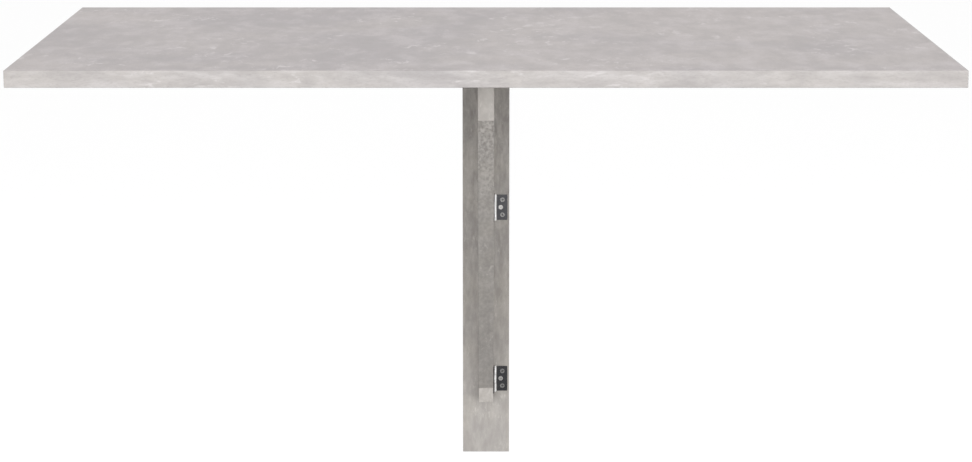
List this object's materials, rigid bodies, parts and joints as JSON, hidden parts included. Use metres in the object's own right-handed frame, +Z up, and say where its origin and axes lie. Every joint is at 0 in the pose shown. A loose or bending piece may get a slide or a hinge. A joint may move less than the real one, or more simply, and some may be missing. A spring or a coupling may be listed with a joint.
{
  "type": "wall mounted drop leaf table",
  "caption": "Wall hung folding table: a laminate top hinged to a ledge and rail, held up by a sloped bracket board that swings on a short post.",
  "frame": {"origin": "middle of the back rail's rear face, on the wall", "axes": "+X to the right along the table top, +Y into the wall, +Z up"},
  "size_m": [1, 0.6, 0.56],
  "materials": {
    "top_laminate": "matt concrete grey laminate on chipboard",
    "frame_laminate": "matt concrete grey laminate on chipboard",
    "edge_band": "matt concrete grey edge band",
    "hinge_steel": "zinc plated, dull",
    "pin_steel": "zinc plated",
    "screw_steel": "zinc plated",
    "block_plastic": "moulded, matt grey",
    "felt": "pressed felt",
    "beech": "fluted beech dowel"
  },
  "bodies": {
    "wall_frame": {"back_rail": "frame_laminate", "bracket_hinge_post_screws": "screw_steel", "hinge_ledge": "frame_laminate", "ledge_dowels": "beech", "ledge_end_bands": "edge_band", "ledge_front_edge_band": "edge_band", "ledge_screws": "screw_steel", "left_top_hinge_ledge_plate": "hinge_steel", "left_top_hinge_pin": "pin_steel", "lower_bracket_hinge_pin": "pin_steel", "lower_bracket_hinge_post_plate": "hinge_steel", "middle_top_hinge_ledge_plate": "hinge_steel", "middle_top_hinge_pin": "pin_steel", "post": "frame_laminate", "post_back_strip": "frame_laminate", "post_edge_band": "edge_band", "post_screws": "screw_steel", "rail_edge_bands": "edge_band", "right_top_hinge_ledge_plate": "hinge_steel", "right_top_hinge_pin": "pin_steel", "top_hinge_ledge_screws": "screw_steel", "upper_bracket_hinge_pin": "pin_steel", "upper_bracket_hinge_post_plate": "hinge_steel"},
    "bracket": {"bracket_board": "frame_laminate", "bracket_edge_band": "edge_band", "bracket_hinge_bracket_screws": "screw_steel", "lower_bracket_hinge_bracket_plate": "hinge_steel", "upper_bracket_hinge_bracket_plate": "hinge_steel"},
    "tabletop": {"left_top_hinge_top_plate": "hinge_steel", "middle_top_hinge_top_plate": "hinge_steel", "rest_block": "block_plastic", "rest_block_pad": "felt", "rest_block_screws": "screw_steel", "right_top_hinge_top_plate": "hinge_steel", "table_top": "top_laminate", "top_front_edge_band": "edge_band", "top_hinge_top_screws": "screw_steel", "top_left_edge_band": "edge_band", "top_rear_edge_band": "edge_band", "top_right_edge_band": "edge_band"}
  },
  "joints": [
    {"name": "bracket_swing", "type": "hinge", "parent": "wall_frame", "child": "bracket", "pos_m": [0.0113, -0.0383, 0], "axis": [0, 0, 1], "range_deg": [0, 90]},
    {"name": "top_lift", "type": "hinge", "parent": "wall_frame", "child": "tabletop", "pos_m": [0, -0.06475, 0.04725], "axis": [1, 0, 0], "range_deg": [-1.5, 0]}
  ]
}
